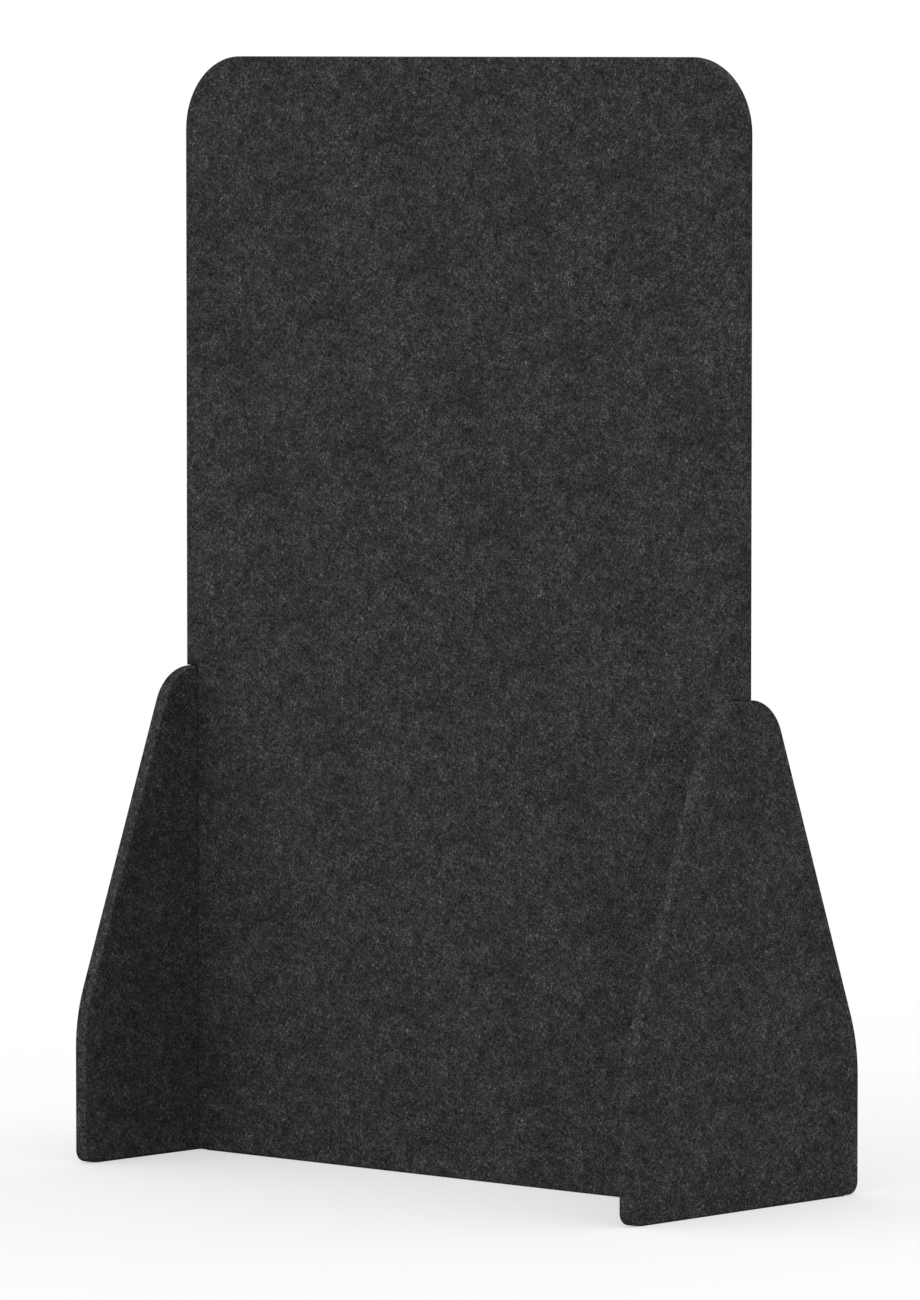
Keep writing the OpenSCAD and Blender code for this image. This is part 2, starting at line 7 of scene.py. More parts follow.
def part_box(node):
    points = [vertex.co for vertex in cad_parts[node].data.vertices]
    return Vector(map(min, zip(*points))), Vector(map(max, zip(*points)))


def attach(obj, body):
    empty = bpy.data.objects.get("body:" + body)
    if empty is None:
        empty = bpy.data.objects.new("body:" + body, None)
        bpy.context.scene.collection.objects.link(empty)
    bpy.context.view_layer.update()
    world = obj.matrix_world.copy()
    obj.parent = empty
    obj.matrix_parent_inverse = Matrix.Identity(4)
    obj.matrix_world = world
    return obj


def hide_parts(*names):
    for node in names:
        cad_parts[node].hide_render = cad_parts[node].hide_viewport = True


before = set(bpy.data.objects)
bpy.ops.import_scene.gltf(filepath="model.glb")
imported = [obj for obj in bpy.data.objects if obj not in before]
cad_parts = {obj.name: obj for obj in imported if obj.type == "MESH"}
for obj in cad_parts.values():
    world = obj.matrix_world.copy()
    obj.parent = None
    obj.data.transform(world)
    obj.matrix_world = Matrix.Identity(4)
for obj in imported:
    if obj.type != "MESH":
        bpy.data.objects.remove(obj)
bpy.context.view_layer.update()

# Camera
# It stands far off, to the right of the screen's front and a little above its middle, as in the
# photograph. The numbers come from fitting a camera to the straight edges of the three panels.

photo_w = 920
photo_h = 1300
focal_pixels = 8979.3
sensor_mm = 36.0
view_turn = math.radians(42.174)
view_drop = math.radians(3.898)
view_target = Vector((-0.0032, 0, 0.8516))
view_distance = 14.383
view_reach = 2000

towards_camera = Vector((
    math.sin(view_turn) * math.cos(view_drop),
    -math.cos(view_turn) * math.cos(view_drop),
    math.sin(view_drop),
))
camera_data = bpy.data.cameras.new("studio_camera")
camera_data.sensor_width = sensor_mm
camera_data.lens = focal_pixels * sensor_mm / max(photo_w, photo_h)
camera_data.clip_end = view_reach
camera = bpy.data.objects.new("studio_camera", camera_data)
camera.location = view_target + towards_camera * view_distance
camera.rotation_euler = towards_camera.to_track_quat("Z", "Y").to_euler()
bpy.context.scene.collection.objects.link(camera)
bpy.context.scene.camera = camera

# Timber frame of the screen panel, and the cores of the wings
# Birch plywood, 18 mm thick, in thirteen layers. The grain of every other layer lies crosswise,
# so an edge shows pale and dark lines, with thin dark glue lines between them.

ply_count = 13
board_t = 0.018
face_birch = (0.62, 0.45, 0.27, 1)
cross_birch = (0.42, 0.27, 0.14, 1)
glue_brown = (0.16, 0.09, 0.05, 1)
glue_share = 0.06
grain_along = 9
grain_across = 420
grain_strength = 0.7
grain_h = 0.0001


def add_node(tree, kind, sockets=None, **settings):
    """Adds a shader node. sockets maps an input to a value, or to the output that feeds it."""
    node = tree.nodes.new(kind)
    for name, value in settings.items():
        setattr(node, name, value)
    for name, value in (sockets or {}).items():
        if isinstance(value, bpy.types.NodeSocket):
            tree.links.new(value, node.inputs[name])
        else:
            node.inputs[name].default_value = value
    return node


def add_math(tree, operation, *values):
    """Adds a Math node and returns its output."""
    return add_node(tree, "ShaderNodeMath", dict(enumerate(values)), operation=operation).outputs[0]


def mix_colours(tree, share, first, second):
    """Mixes two colours and returns the output."""
    mix = add_node(tree, "ShaderNodeMix", {"Factor": share}, data_type="RGBA")
    for socket, value in ((mix.inputs[6], first), (mix.inputs[7], second)):
        if isinstance(value, bpy.types.NodeSocket):
            tree.links.new(value, socket)
        else:
            socket.default_value = value
    return mix.outputs[2]


def new_material(name, **plain):
    """Starts a material, and sets the values of its shader that are the same all over."""
    material = bpy.data.materials.new(name)
    material.use_nodes = True
    shader = material.node_tree.nodes["Principled BSDF"]
    for socket, value in plain.items():
        shader.inputs[socket.replace("_", " ")].default_value = value
    return material, material.node_tree, shader


def new_group(name, inputs, outputs):
    """Starts a node group whose inputs and outputs map a socket's name to its kind."""
    group = bpy.data.node_groups.new(name, "ShaderNodeTree")
    for side, sockets in (("INPUT", inputs), ("OUTPUT", outputs)):
        for socket, kind in sockets.items():
            group.interface.new_socket(socket, in_out=side, socket_type="NodeSocket" + kind)
    entry = group.nodes.new("NodeGroupInput")
    exit_node = group.nodes.new("NodeGroupOutput")
    return group, entry, exit_node


def add_bump(tree, shader, height, distance, strength=1.0):
    """Raises a surface by up to distance where height is 1."""
    bump = add_node(
        tree, "ShaderNodeBump", {"Height": height, "Distance": distance, "Strength": strength},
    )
    tree.links.new(bump.outputs["Normal"], shader.inputs["Normal"])


def dress(material, *names):
    """Gives a CAD node its finish."""
    for name in names:
        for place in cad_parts[name].material_slots:
            place.material = material


# The group reads a place whose X and Y lie along the board's face,
# and whose Z runs through the board from its middle
ply_layers, entry, exit_node = new_group(
    "ply_layers", {"Place": "Vector"}, {"Color": "Color", "Height": "Float"},
)
depth = add_node(ply_layers, "ShaderNodeSeparateXYZ", {"Vector": entry.outputs["Place"]}).outputs["Z"]
layer = add_math(ply_layers, "MULTIPLY_ADD", depth, ply_count / board_t, ply_count / 2)
crosswise = add_math(ply_layers, "FLOORED_MODULO", add_math(ply_layers, "FLOOR", layer), 2)
grains = []
for stretch in ((grain_along, grain_across, grain_across), (grain_across, grain_along, grain_across)):
    stretched = add_node(
        ply_layers, "ShaderNodeMapping", {"Vector": entry.outputs["Place"], "Scale": stretch},
    )
    grain = add_node(
        ply_layers, "ShaderNodeTexNoise",
        {"Vector": stretched.outputs["Vector"], "Scale": 1.0, "Detail": 3.0, "Distortion": 0.4},
    )
    grains.append(grain.outputs["Fac"])
grain = add_math(
    ply_layers, "ADD",
    add_math(ply_layers, "MULTIPLY", grains[0], add_math(ply_layers, "SUBTRACT", 1, crosswise)),
    add_math(ply_layers, "MULTIPLY", grains[1], crosswise),
)
wood = mix_colours(ply_layers, crosswise, face_birch, cross_birch)
streaks = add_math(ply_layers, "MULTIPLY", grain, grain_strength)
streaked = mix_colours(ply_layers, streaks, wood, cross_birch)
glue = add_math(ply_layers, "LESS_THAN", add_math(ply_layers, "PINGPONG", layer, 0.5), glue_share)
ply_layers.links.new(mix_colours(ply_layers, glue, streaked, glue_brown), exit_node.inputs["Color"])
ply_layers.links.new(grain, exit_node.inputs["Height"])


def plywood_material(name, board_turn):
    """Plywood whose layers are turned from lying flat to lying as the board does."""
    material, tree, shader = new_material(name, Roughness=0.55, Specular_IOR_Level=0.3)
    place = add_node(tree, "ShaderNodeTexCoord").outputs["Object"]
    turned = add_node(tree, "ShaderNodeMapping", {"Vector": place, **board_turn})
    layers = tree.nodes.new("ShaderNodeGroup")
    layers.node_tree = ply_layers
    tree.links.new(turned.outputs["Vector"], layers.inputs["Place"])
    tree.links.new(layers.outputs["Color"], shader.inputs["Base Color"])
    add_bump(tree, shader, layers.outputs["Height"], grain_h)
    return material


screen_plywood = plywood_material("screen_plywood", {"Rotation": (math.pi / 2, 0, 0)})
dress(
    screen_plywood,
    "screen_top_rail", "screen_left_stile", "screen_right_stile",
    "screen_upper_rail", "screen_middle_rail", "screen_bottom_rail",
)

for side in ("left", "right"):
    core_low, core_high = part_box(side + "_wing_core")
    core_middle = (core_low.x + core_high.x) / 2
    dress(
        plywood_material(
            side + "_wing_plywood",
            {"Rotation": (0, -math.pi / 2, 0), "Location": (0, 0, -core_middle)},
        ),
        side + "_wing_core",
    )

# Dowels of the timber frame
# Fluted beech dowels, 8 mm across, glued into both the stiles and the rails.
# Beech is pinkish brown and even, with short dark flecks.

beech_pale = (0.62, 0.40, 0.24, 1)
beech_dark = (0.40, 0.22, 0.12, 1)
fleck_scale = 900.0

beech, tree, shader = new_material("beech", Roughness=0.6, Specular_IOR_Level=0.3)
place = add_node(tree, "ShaderNodeTexCoord").outputs["Object"]
flecks = add_node(
    tree, "ShaderNodeTexNoise",
    {"Vector": place, "Scale": fleck_scale, "Detail": 4.0, "Roughness": 0.7},
).outputs["Fac"]
tree.links.new(mix_colours(tree, flecks, beech_pale, beech_dark), shader.inputs["Base Color"])
add_bump(tree, shader, flecks, grain_h)
dress(beech, "screen_frame_dowels")

# Infill pads between the rails
# Pressed polyester felt, as thick as the timber, which takes up the sound.
# Each pad is cut a little small and lies loose in its bay, so its edges are soft.

arc_step = math.radians(3)
roll_steps = 6
sharp_angle = math.radians(50)
weld_reach = 0.000001
infill_roll = 0.003
infill_corner = 0.004
felt_pale = (0.78, 0.77, 0.72, 1)
felt_grey = (0.45, 0.44, 0.41, 1)
felt_fibre_scale = 260.0
felt_cloud_scale = 14.0
felt_cloud_strength = 0.5
felt_nap_h = 0.0006


def corner_arc(mesh, before, corner, after, radius):
    """Draws a corner as a true arc, and returns its first and last vertices."""
    to_before = (before - corner).normalized()
    to_after = (after - corner).normalized()
    half = to_before.angle(to_after) / 2
    start = corner + to_before * (radius / math.tan(half))
    end = corner + to_after * (radius / math.tan(half))
    first = mesh.verts.new(start)
    if radius == 0:
        return first, first
    centre = corner + (to_before + to_after).normalized() * (radius / math.sin(half))
    turn = math.pi - 2 * half
    arc = bmesh.ops.spin(
        mesh, geom=[first], cent=centre, axis=(start - centre).cross(end - centre).normalized(),
        angle=turn, steps=max(2, round(turn / arc_step)),
    )
    last = arc["geom_last"][0]
    return first, last


def outline_face(mesh, corners):
    """Fills the outline through corners (x, z, radius) with one face that looks to the front."""
    points = [Vector((x, 0, z)) for x, z, radius in corners]
    arcs = [
        corner_arc(mesh, points[i - 1], points[i], points[(i + 1) % len(points)], corners[i][2])
        for i in range(len(points))
    ]
    for i, (first, last) in enumerate(arcs):
        mesh.edges.new((arcs[i - 1][1], first))
    face = bmesh.ops.contextual_create(mesh, geom=mesh.edges[:])["faces"][0]
    face.normal_update()
    if face.normal.y > 0:
        face.normal_flip()
    return face


def half_panel(corners, depth, roll):
    """Raises an outline from its middle plane up to its face, over a softly rolled edge."""
    mesh = bmesh.new()
    face = outline_face(mesh, corners)
    steps = [(0, depth - roll)]
    for i in range(roll_steps):
        low = math.pi / 2 * i / roll_steps
        high = math.pi / 2 * (i + 1) / roll_steps
        inset = roll * (math.cos(low) - math.cos(high))
        rise = roll * (math.sin(high) - math.sin(low))
        steps.append((inset, rise))
    for inset, rise in steps:
        bmesh.ops.inset_region(
            mesh, faces=[face], thickness=inset, depth=rise, use_boundary=True, use_even_offset=True,
        )
    for part in mesh.faces:
        part.smooth = part is not face
    return mesh


def closed_pad(corners, middle, thickness, roll):
    """A pad with two faces and rolled edges, whose middle plane is at Y = middle."""
    mesh = half_panel(corners, thickness / 2, roll)
    bmesh.ops.mirror(
        mesh, geom=mesh.verts[:] + mesh.edges[:] + mesh.faces[:], merge_dist=weld_reach, axis="Y",
    )
    bmesh.ops.recalc_face_normals(mesh, faces=mesh.faces[:])
    bmesh.ops.translate(mesh, verts=mesh.verts[:], vec=(0, middle, 0))
    return mesh


def finish_mesh(mesh, name, material, turn=0, along_x=0):
    """Turns a mesh about Z, moves it along X, and makes it an object at the origin."""
    place = Matrix.Translation((along_x, 0, 0)) @ Matrix.Rotation(turn, 4, "Z")
    bmesh.ops.transform(mesh, matrix=place, verts=mesh.verts[:])
    for edge in mesh.edges:
        edge.smooth = len(edge.link_faces) == 2 and edge.calc_face_angle() < sharp_angle
    data = bpy.data.meshes.new(name)
    mesh.to_mesh(data)
    mesh.free()
    data.materials.append(material)
    piece = bpy.data.objects.new(name, data)
    bpy.context.scene.collection.objects.link(piece)
    return piece


felt, tree, shader = new_material("pressed_felt", Roughness=0.95, Specular_IOR_Level=0.1)
place = add_node(tree, "ShaderNodeTexCoord").outputs["Object"]
fibres = add_node(
    tree, "ShaderNodeTexNoise",
    {"Vector": place, "Scale": felt_fibre_scale, "Detail": 5.0, "Roughness": 0.75, "Distortion": 2.5},
).outputs["Fac"]
clouds = add_node(
    tree, "ShaderNodeTexNoise", {"Vector": place, "Scale": felt_cloud_scale, "Detail": 2.0},
).outputs["Fac"]
speckled = mix_colours(tree, fibres, felt_grey, felt_pale)
cloudy = mix_colours(tree, add_math(tree, "MULTIPLY", clouds, felt_cloud_strength), speckled, felt_pale)
tree.links.new(cloudy, shader.inputs["Base Color"])
add_bump(tree, shader, fibres, felt_nap_h)

for bay in ("upper", "middle", "lower"):
    name = "screen_" + bay + "_infill"
    low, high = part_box(name)
    corners = [
        (low.x, low.z, infill_corner), (high.x, low.z, infill_corner),
        (high.x, high.z, infill_corner), (low.x, high.z, infill_corner),
    ]
    pad = finish_mesh(
        closed_pad(corners, (low.y + high.y) / 2, high.y - low.y, infill_roll),
        name.replace("infill", "felt_pad"), felt,
    )
    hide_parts(name)
    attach(pad, "screen")

# Outlines of the upholstered panels
# The screen panel is full width above the wings and narrower between them, with two round top
# corners. A wing has upright lower edges, a soft bend, sloping edges and a rounded narrow top.

cloth_t = 0.001
foam_setback = 0.002
slide_gap = 0.0005
screen_corner_r = 0.12
wing_knee_z = 0.24
wing_knee_r = 0.28
wing_top_d = 0.13
wing_top_r = 0.08
wing_foot_r = 0.02

panel_low, panel_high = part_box("screen_front_cover")
wing_low, wing_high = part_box("right_wing_inner_cover")
wing_mid_x = wing_high.x


def screen_corners(inset):
    """The screen panel's corners (x, z, radius), drawn in by inset."""
    wide = panel_high.x - inset
    narrow = wing_low.x - slide_gap - inset
    base = panel_low.z + inset
    shoulder = wing_high.z + slide_gap + inset
    top = panel_high.z - inset
    right = [
        (narrow, base, 0),
        (narrow, shoulder, 0),
        (wide, shoulder, 0),
        (wide, top, screen_corner_r - inset),
    ]
    return right + [(-x, z, radius) for x, z, radius in reversed(right)]


def wing_corners(inset):
    """A wing's corners (y, z, radius), drawn in by inset."""
    side = wing_high.y - inset
    rise = wing_high.z - wing_knee_z
    slope = math.atan2(wing_high.y - wing_top_d / 2, rise)
    top_reach = wing_high.y - (inset + (rise - inset) * math.sin(slope)) / math.cos(slope)
    rear = [
        (side, wing_low.z + inset, wing_foot_r - inset),
        (side, wing_knee_z - inset * math.tan(slope / 2), wing_knee_r - inset),
        (top_reach, wing_high.z - inset, wing_top_r - inset),
    ]
    return rear + [(-y, z, radius) for y, z, radius in reversed(rear)]


# Foam layers
# Soft grey foam, 2 mm thick, glued to both sides of every panel under the cloth.
# It stops short of the board's edge, so that the cloth rolls over a soft corner there.

foam_roll = 0.0008
foam_pale = (0.52, 0.52, 0.49, 1)
foam_dark = (0.24, 0.24, 0.22, 1)
cell_scale = 1400.0
cell_h = 0.0004
window_gap = 0.0002
cut_overrun = 0.004

foam, tree, shader = new_material("open_cell_foam", Roughness=0.9, Specular_IOR_Level=0.1)
place = add_node(tree, "ShaderNodeTexCoord").outputs["Object"]
cells = add_node(
    tree, "ShaderNodeTexVoronoi", {"Vector": place, "Scale": cell_scale}, feature="DISTANCE_TO_EDGE",
).outputs["Distance"]
tree.links.new(mix_colours(tree, cells, foam_dark, foam_pale), shader.inputs["Base Color"])
add_bump(tree, shader, cells, cell_h)


def bar_cutter(middle, axis, radius, length, straight=0):
    """A round bar along an axis, drawn out by straight along Z, to cut an opening with."""
    mesh = bmesh.new()
    segments = 48
    upright = Matrix.Rotation(math.pi / segments, 4, "Z")
    lie = Vector((0, 0, 1)).rotation_difference(Vector(axis)).to_matrix().to_4x4()
    bmesh.ops.create_cone(
        mesh, cap_ends=True, segments=segments, radius1=radius, radius2=radius, depth=length,
        matrix=lie @ upright,
    )
    if straight:
        for vertex in mesh.verts:
            vertex.co.z += math.copysign(straight / 2, vertex.co.z)
    bmesh.ops.translate(mesh, verts=mesh.verts[:], vec=middle)
    data = bpy.data.meshes.new("cutter")
    mesh.to_mesh(data)
    mesh.free()
    cutter = bpy.data.objects.new("cutter", data)
    bpy.context.scene.collection.objects.link(cutter)
    return cutter


def settle(piece, cutters=()):
    """Cuts openings in a piece, and makes its modifiers part of its mesh."""
    for cutter in cutters:
        cut = piece.modifiers.new("opening", "BOOLEAN")
        cut.object = cutter
        cut.operation = "DIFFERENCE"
        cut.solver = "EXACT"
    now = bpy.context.evaluated_depsgraph_get()
    settled = bpy.data.meshes.new_from_object(piece.evaluated_get(now), depsgraph=now)
    piece.modifiers.clear()
    settled.name = piece.name
    piece.data = settled
    for cutter in cutters:
        bpy.data.objects.remove(cutter)


def keyhole_windows(side):
    """Cutters for the windows in the cloth and the foam that a wing's keyhole plates fill."""
    cutters = []
    for level in ("upper", "middle", "lower"):
        low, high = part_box(side + "_" + level + "_keyhole_plate")
        width = high.y - low.y
        length = high.z - low.z
        depth = high.x - low.x
        cutters.append(bar_cutter(
            (low + high) / 2, (1, 0, 0), width / 2 + window_gap, depth + cut_overrun, length - width,
        ))
    return cutters


def finish_foam(piece, node, body):
    """Hides a foam layer's CAD node, and attaches the layer to its body."""
    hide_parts(node)
    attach(piece, body)


for face in ("front", "rear"):
    node = "screen_" + face + "_foam"
    low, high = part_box(node)
    layer = closed_pad(
        screen_corners(cloth_t + foam_setback), (low.y + high.y) / 2, high.y - low.y, foam_roll,
    )
    finish_foam(finish_mesh(layer, node + "_layer", foam), node, "screen")

for side in ("left", "right"):
    for face in ("inner", "outer"):
        node = side + "_wing_" + face + "_foam"
        low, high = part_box(node)
        layer = closed_pad(wing_corners(cloth_t + foam_setback), 0, high.x - low.x, foam_roll)
        piece = finish_mesh(layer, node + "_layer", foam, math.pi / 2, (low.x + high.x) / 2)
        if face == "inner":
            settle(piece, keyhole_windows(side))
        finish_foam(piece, node, side + "_wing")

# Wool covers
# Felted charcoal melange wool, 1 mm thick, pulled over the foam and round the panel's edge. Two covers
# meet in a fine seam along the middle of the edge, and are stapled underneath.

cloth_roll = 0.0032
seam_roll = 0.00025
roll_width = 1.4
wool_blue = (0.0428, 0.0427, 0.0510, 1)
wool_brown = (0.0428, 0.0427, 0.0343, 1)

# Each kind of mark in the melange: its width, height and turn, and how strongly it shows
fibre_marks = [
    (0.0017, 0.0070, 0, 1.52),
    (0.0070, 0.0017, 0, 1.33),
    (0.0022, 0.0022, 0, 1.55),
    (0.0044, 0.0044, 0, 0.75),
    (0.0180, 0.0600, math.radians(45), 0.26),
    (0.1600, 0.1600, 0, 0.15),
]

# Each size of clump: its width and height, and how strongly it shows. They come back after a repeat.
clump_marks = [
    (0.0062, 0.0056, 0.80),
    (0.0100, 0.0085, 0.93),
    (0.0200, 0.0155, 0.67),
    (0.0450, 0.0350, 0.43),
    (0.0900, 0.0900, 0.34),
]
repeat_w = 0.229
repeat_h = 0.221
clump_start = 5.1
mark_spacing = 3.7
pale_contrast = 0.26

# A blue and a brown wool are blended in streaks
tint_w = 0.045
tint_h = 0.070
tint_start = 2.4

# Single hairs, which curl a little and lie in these directions
hair_w = 0.00030
hair_l = 0.0028
hair_turns = [math.radians(15), math.radians(75), math.radians(-45)]
hair_strength = 0.75
curl_size = 0.006
curl_reach = 0.0022

# The nap stands up over the smallest marks, the hairs and the weave below them
raised_mark_h = 0.0022
weave_pitch = 0.0014
weave_share = 0.3
nap_h = 0.00025

wool, tree, shader = new_material("wool_cloth", Roughness=0.95, Specular_IOR_Level=0.0)
place = add_node(tree, "ShaderNodeUVMap", uv_map="cloth").outputs["UV"]
around = add_node(
    tree, "ShaderNodeVectorMath",
    {0: place, 1: (2 * math.pi / repeat_w, 2 * math.pi / repeat_h, 0)}, operation="MULTIPLY",
).outputs["Vector"]
cosines = add_node(tree, "ShaderNodeVectorMath", {0: around}, operation="COSINE").outputs["Vector"]
sines = add_node(tree, "ShaderNodeVectorMath", {0: around}, operation="SINE").outputs["Vector"]
cosine = add_node(tree, "ShaderNodeSeparateXYZ", {"Vector": cosines})
sine = add_node(tree, "ShaderNodeSeparateXYZ", {"Vector": sines})
ring = add_node(
    tree, "ShaderNodeCombineXYZ",
    {0: cosine.outputs["X"], 1: sine.outputs["X"], 2: cosine.outputs["Y"]},
).outputs["Vector"]


def fibre_mark(where, width, height, turn, start):
    """Marks of one size, all over the cloth."""
    scaled = add_node(
        tree, "ShaderNodeMapping",
        {
            "Vector": where, "Scale": (width, height, 1),
            "Rotation": (0, 0, turn), "Location": (start, start, 0),
        },
        vector_type="TEXTURE",
    )
    mark = add_node(
        tree, "ShaderNodeTexNoise",
        {"Vector": scaled.outputs["Vector"], "Scale": 1.0, "Detail": 0.0}, noise_dimensions="2D",
    )
    return mark.outputs["Fac"]


def clump_mark(width, height, start, detail=0.0, roughness=0.5):
    """Marks of one size that come back after each repeat, read along two rings in four dimensions."""
    across = repeat_w / (2 * math.pi * width)
    along = repeat_h / (2 * math.pi * height)
    scaled = add_node(
        tree, "ShaderNodeMapping",
        {"Vector": ring, "Scale": (across, across, along), "Location": (start, start, start)},
    )
    mark = add_node(
        tree, "ShaderNodeTexNoise",
        {
            "Vector": scaled.outputs["Vector"], "Scale": 1.0, "Detail": detail, "Roughness": roughness,
            "W": add_math(tree, "MULTIPLY_ADD", sine.outputs["Y"], along, start),
        },
        noise_dimensions="4D",
    )
    return mark.outputs["Fac"]


clumps = -sum(mark[-1] for mark in clump_marks) / 2
for i, (width, height, strength) in enumerate(clump_marks):
    mark = clump_mark(width, height, clump_start + mark_spacing * i)
    clumps = add_math(tree, "MULTIPLY_ADD", mark, strength, clumps)

fibres = -sum(mark[-1] for mark in fibre_marks) / 2 - len(hair_turns) * hair_strength / 2
raised = 0
for i, (width, height, turn, strength) in enumerate(fibre_marks):
    mark = fibre_mark(place, width, height, turn, mark_spacing * i)
    fibres = add_math(tree, "MULTIPLY_ADD", mark, strength, fibres)
    if min(width, height) <= raised_mark_h:
        raised = add_math(tree, "ADD", mark, raised)
curls = add_node(
    tree, "ShaderNodeTexNoise", {"Vector": place, "Scale": 1 / curl_size}, noise_dimensions="2D",
)
curled = add_node(
    tree, "ShaderNodeVectorMath",
    {0: curls.outputs["Color"], 1: (curl_reach, curl_reach, 0), 2: place}, operation="MULTIPLY_ADD",
).outputs["Vector"]
for i, turn in enumerate(hair_turns):
    mark = fibre_mark(curled, hair_w, hair_l, turn, -mark_spacing * i)
    fibres = add_math(tree, "MULTIPLY_ADD", mark, hair_strength, fibres)
    raised = add_math(tree, "ADD", mark, raised)
contrast = add_math(tree, "MULTIPLY_ADD", clumps, pale_contrast, 1)
shade = add_math(tree, "MULTIPLY_ADD", fibres, contrast, clumps)
tint = clump_mark(tint_w, tint_h, tint_start, detail=3.0, roughness=0.75)
wool_colour = mix_colours(tree, tint, wool_blue, wool_brown)
shaded = add_node(
    tree, "ShaderNodeVectorMath",
    {0: wool_colour, "Scale": add_math(tree, "EXPONENT", shade)}, operation="SCALE",
)
tree.links.new(shaded.outputs["Vector"], shader.inputs["Base Color"])
pitches = add_node(
    tree, "ShaderNodeVectorMath", {0: place, "Scale": 2 * math.pi / weave_pitch}, operation="SCALE",
).outputs["Vector"]
threads = add_node(tree, "ShaderNodeVectorMath", {0: pitches}, operation="SINE").outputs["Vector"]
thread = add_node(tree, "ShaderNodeSeparateXYZ", {"Vector": threads})
weave = add_math(tree, "MULTIPLY", thread.outputs["X"], thread.outputs["Y"])
add_bump(tree, shader, add_math(tree, "MULTIPLY_ADD", weave, weave_share, raised), nap_h)


def lay_out_cloth(mesh, depth, cut, slant):
    """Gives cloth a UV map in metres, flat on the face and unrolled outwards round the edge.

    cut is where on the roll of cloth this cover was cut, and slant is how far it was turned there.
    At a corner with no arc, a face's own direction is taken for its vertices' shared one."""
    sheet = mesh.loops.layers.uv.new("cloth")
    turned = Matrix.Rotation(-slant, 2)
    mesh.normal_update()
    for face in mesh.faces:
        facing = Vector((face.normal.x, face.normal.z))
        for corner in face.loops:
            place = corner.vert.co
            below = max(0, depth + place.y)
            if below < cloth_roll:
                angle = math.acos(1 - below / cloth_roll)
                reach = cloth_roll * (angle - math.sin(angle))
            else:
                reach = cloth_roll * (math.pi / 2 - 1) + below - cloth_roll
            outward = Vector((corner.vert.normal.x, corner.vert.normal.z))
            if outward.angle(facing, 0) > 2 * arc_step:
                outward = facing
            flat = Vector((place.x, place.z)) + outward.normalized() * reach
            corner[sheet].uv = turned @ flat + cut


def make_cover(node, corners, depth, cut, slant, turn, along_x, cutters):
    """A cloth cover over one face of a panel and half the width of its edge."""
    mesh = half_panel(corners, depth, cloth_roll)
    lay_out_cloth(mesh, depth, cut, slant)
    piece = finish_mesh(mesh, node.replace("_cover", "_cloth"), wool, turn, along_x)
    wall = piece.modifiers.new("cloth_thickness", "SOLIDIFY")
    wall.thickness = cloth_t
    wall.offset = -1
    wall.use_even_offset = True
    edge = piece.modifiers.new("seam_edge", "BEVEL")
    edge.width = seam_roll
    edge.segments = 2
    edge.limit_method = "ANGLE"
    edge.angle_limit = sharp_angle
    settle(piece, cutters)
    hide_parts(node)
    return piece


screen_slant = math.radians(20)
stud_flange_r = 0.0062
stud_shares = (0.2, 0.5, 0.8)

for i, (face, turn) in enumerate((("front", 0), ("rear", math.pi))):
    holes = [
        bar_cutter((0, 0, share * wing_high.z), (1, 0, 0), stud_flange_r, 2 * wing_low.x)
        for share in stud_shares
    ]
    cover = make_cover(
        "screen_" + face + "_cover", screen_corners(0), panel_high.y - panel_low.y,
        Vector((0, i * roll_width)), screen_slant, turn, 0, holes,
    )
    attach(cover, "screen")

pad_pocket_r = 0.0065
wing_roll_place = 2.2
foot_places = []
for end in ("front", "rear"):
    low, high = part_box("left_" + end + "_glide_pad")
    foot_places.append((low.y + high.y) / 2)

for i, (side, sign) in enumerate((("left", -1), ("right", 1))):
    for j, (face, facing) in enumerate((("inner", -sign), ("outer", sign))):
        cutters = [
            bar_cutter((sign * wing_mid_x, y, 0), (0, 0, 1), pad_pocket_r, 2 * cut_overrun)
            for y in foot_places
        ]
        if face == "inner":
            cutters += keyhole_windows(side)
        cover = make_cover(
            side + "_wing_" + face + "_cover", wing_corners(0), wing_high.x - wing_low.x,
            Vector((wing_roll_place + i, j)), 0, facing * math.pi / 2, sign * wing_mid_x, cutters,
        )
        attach(cover, side + "_wing")

# Seam stitches
# Charcoal polyester thread, sewn by hand over each seam in small slanting stitches.
# They run all round a panel's edge, apart from its underside, where the covers are stapled.

stitch_pitch = 0.006
stitch_l = 0.0026
thread_r = 0.0002
stitch_sink = 0.0001
stitch_slant = math.radians(25)
thread_dark = (0.018, 0.018, 0.019, 1)
thread_pale = (0.050, 0.050, 0.053, 1)
filament_scale = 5000.0
filament_h = 0.00008

seam_thread, tree, shader = new_material("seam_thread", Roughness=0.7, Specular_IOR_Level=0.25)
place = add_node(tree, "ShaderNodeTexCoord").outputs["Object"]
filaments = add_node(
    tree, "ShaderNodeTexNoise", {"Vector": place, "Scale": filament_scale, "Detail": 1.0},
).outputs["Fac"]
tree.links.new(mix_colours(tree, filaments, thread_dark, thread_pale), shader.inputs["Base Color"])
add_bump(tree, shader, filaments, filament_h)


